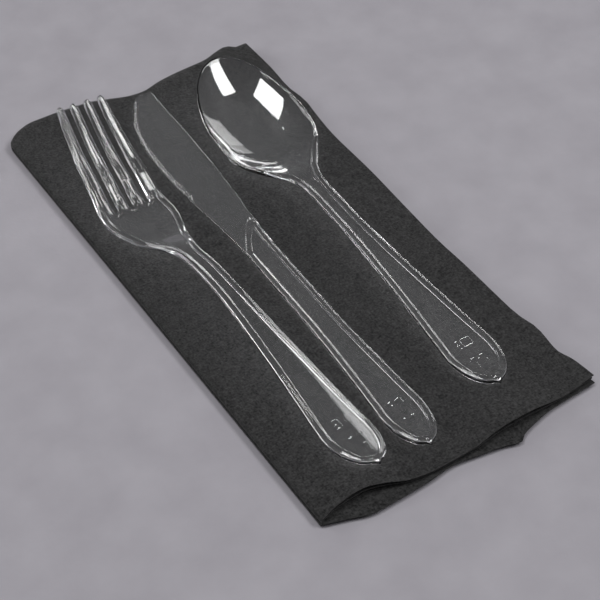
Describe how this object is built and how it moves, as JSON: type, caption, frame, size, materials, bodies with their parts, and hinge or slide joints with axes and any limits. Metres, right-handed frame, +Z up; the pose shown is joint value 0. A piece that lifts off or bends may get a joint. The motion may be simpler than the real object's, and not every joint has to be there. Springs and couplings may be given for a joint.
{
  "type": "plastic cutlery pack",
  "caption": "Clear plastic fork, serrated knife and spoon laid side by side on a folded charcoal paper napkin.",
  "frame": {"origin": "middle of the bounding box's underside, on the surface that the napkin lies on", "axes": "+Y from the handles to the tines along the napkin's length, +X from the fork to the spoon, +Z up"},
  "size_m": [0.102, 0.208, 0.0294],
  "materials": {
    "charcoal_paper": "matt, linen-feel pressed paper",
    "clear_plastic": "crystal-clear moulded polystyrene, polished"
  },
  "bodies": {
    "root": {"napkin": "charcoal_paper", "fork": "clear_plastic", "knife": "clear_plastic", "spoon": "clear_plastic"}
  },
  "joints": []
}
